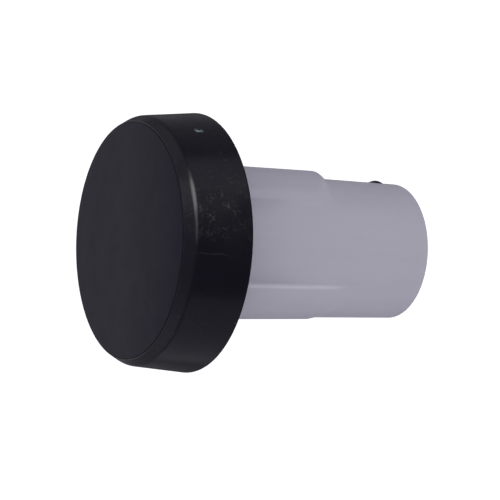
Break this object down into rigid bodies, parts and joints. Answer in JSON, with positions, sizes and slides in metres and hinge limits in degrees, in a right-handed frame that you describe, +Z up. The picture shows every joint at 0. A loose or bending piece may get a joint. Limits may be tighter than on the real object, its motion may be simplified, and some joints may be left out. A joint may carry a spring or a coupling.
{
  "type": "desk grommet",
  "caption": "Round closed desk grommet: a deep black lift-off cap on a hollow grey barrel with centring pads and a sprung lock button.",
  "frame": {"origin": "on the barrel's axis in the plane of the desk's surface, where the cap's rim and the seat gasket meet the desk", "axes": "+Z up along the barrel's axis, out of the desk through the cap; +X towards the side with the lock button and the thicker pad; -Y is the front, where the channel between the pads shows"},
  "size_m": [0.06, 0.06, 0.0723],
  "materials": {
    "cap_black": "semi-gloss moulded plastic with fine handling scratches",
    "face_black": "satin, very fine spark-eroded grain",
    "inner_black": "plain moulded",
    "barrel_grey": "satin moulded plastic, light grey with a lilac tint",
    "button_black": "semi-gloss, worn at the crown",
    "seal_rubber": "matt rubber",
    "zinc_steel": "zinc-plated",
    "spring_steel": "drawn wire"
  },
  "bodies": {
    "barrel": {"barrel": "barrel_grey", "seat_gasket": "seal_rubber", "collar_ring": "seal_rubber", "button_guide": "inner_black", "guide_screw_1": "zinc_steel", "guide_screw_2": "zinc_steel", "lock_spring": "spring_steel"},
    "cap": {"cap_shell": "cap_black", "face_disc": "face_black", "cap_plate": "inner_black", "cap_screw_1": "zinc_steel", "cap_screw_2": "zinc_steel", "cap_screw_3": "zinc_steel"},
    "button": {"lock_button": "button_black"}
  },
  "joints": [
    {"name": "cap_lift", "type": "slide", "parent": "barrel", "child": "cap", "axis": [0, 0, 1], "range_m": [0, 0.02]},
    {"name": "button_press", "type": "slide", "parent": "barrel", "child": "button", "axis": [-1, 0, 0], "range_m": [0, 0.0012], "stiffness_N_per_m": 150, "deforming": ["lock_spring"]}
  ]
}
